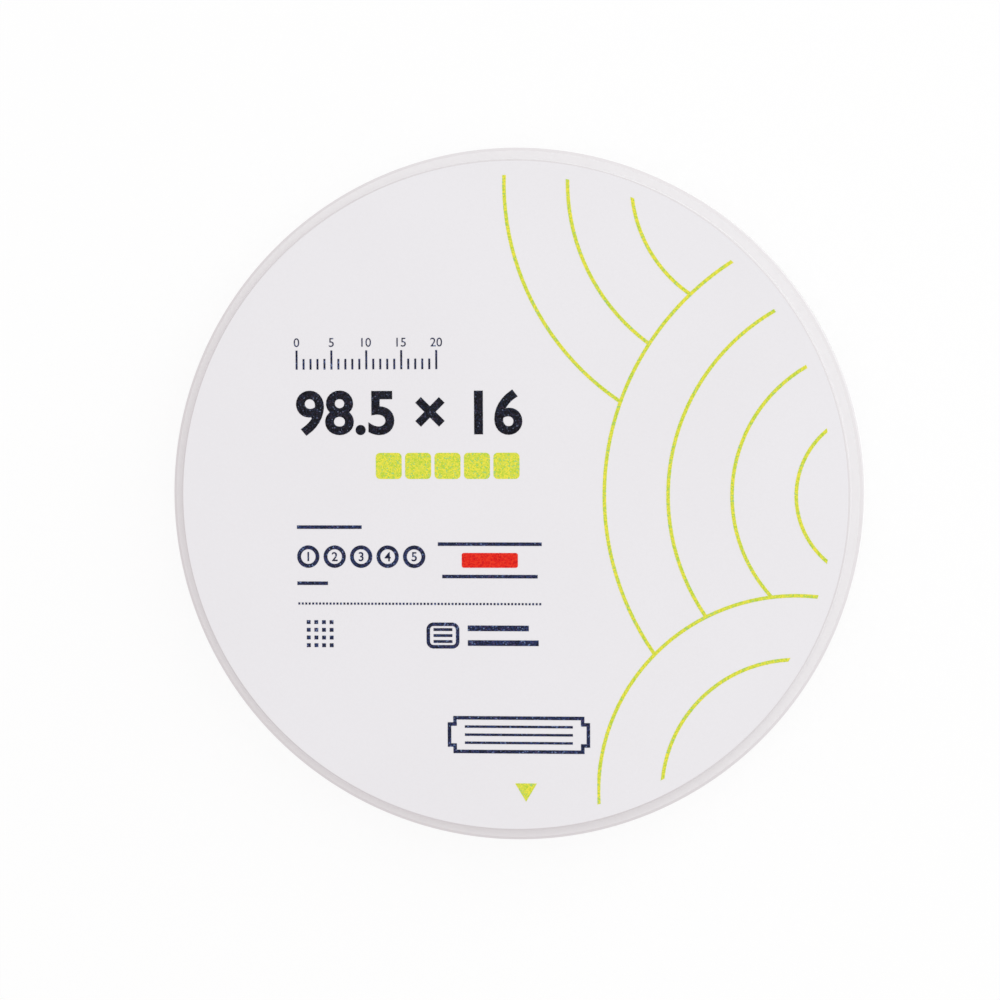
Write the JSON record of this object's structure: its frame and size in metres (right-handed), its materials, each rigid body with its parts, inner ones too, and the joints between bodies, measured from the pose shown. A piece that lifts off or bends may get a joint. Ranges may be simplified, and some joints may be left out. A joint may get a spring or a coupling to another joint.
{
  "type": "dental milling disc",
  "caption": "Round stepped milling blank of white pre-sintered ceramic with a gripped rim and a printed upper face, for cutting crowns and bridges.",
  "frame": {"origin": "centre of the lower face, on the disc's axis", "axes": "+Z along the disc's axis, out of the printed face; +X to the right of the print as it is read, +Y towards its top"},
  "size_m": [0.0984, 0.0984, 0.016],
  "materials": {
    "ceramic": "matte",
    "lime_ink": "matte",
    "navy_ink": "matte",
    "red_ink": "matte"
  },
  "bodies": {
    "root": {"disc_blank": "ceramic", "print_wave_lines": "lime_ink", "print_shade_squares": "lime_ink", "print_direction_mark": "lime_ink", "print_scale": "navy_ink", "print_ring_row": "navy_ink", "print_text_bars": "navy_ink", "print_dotted_rule": "navy_ink", "print_square_block": "navy_ink", "print_layer_icon": "navy_ink", "print_side_view": "navy_ink", "print_red_bar": "red_ink"}
  },
  "joints": []
}
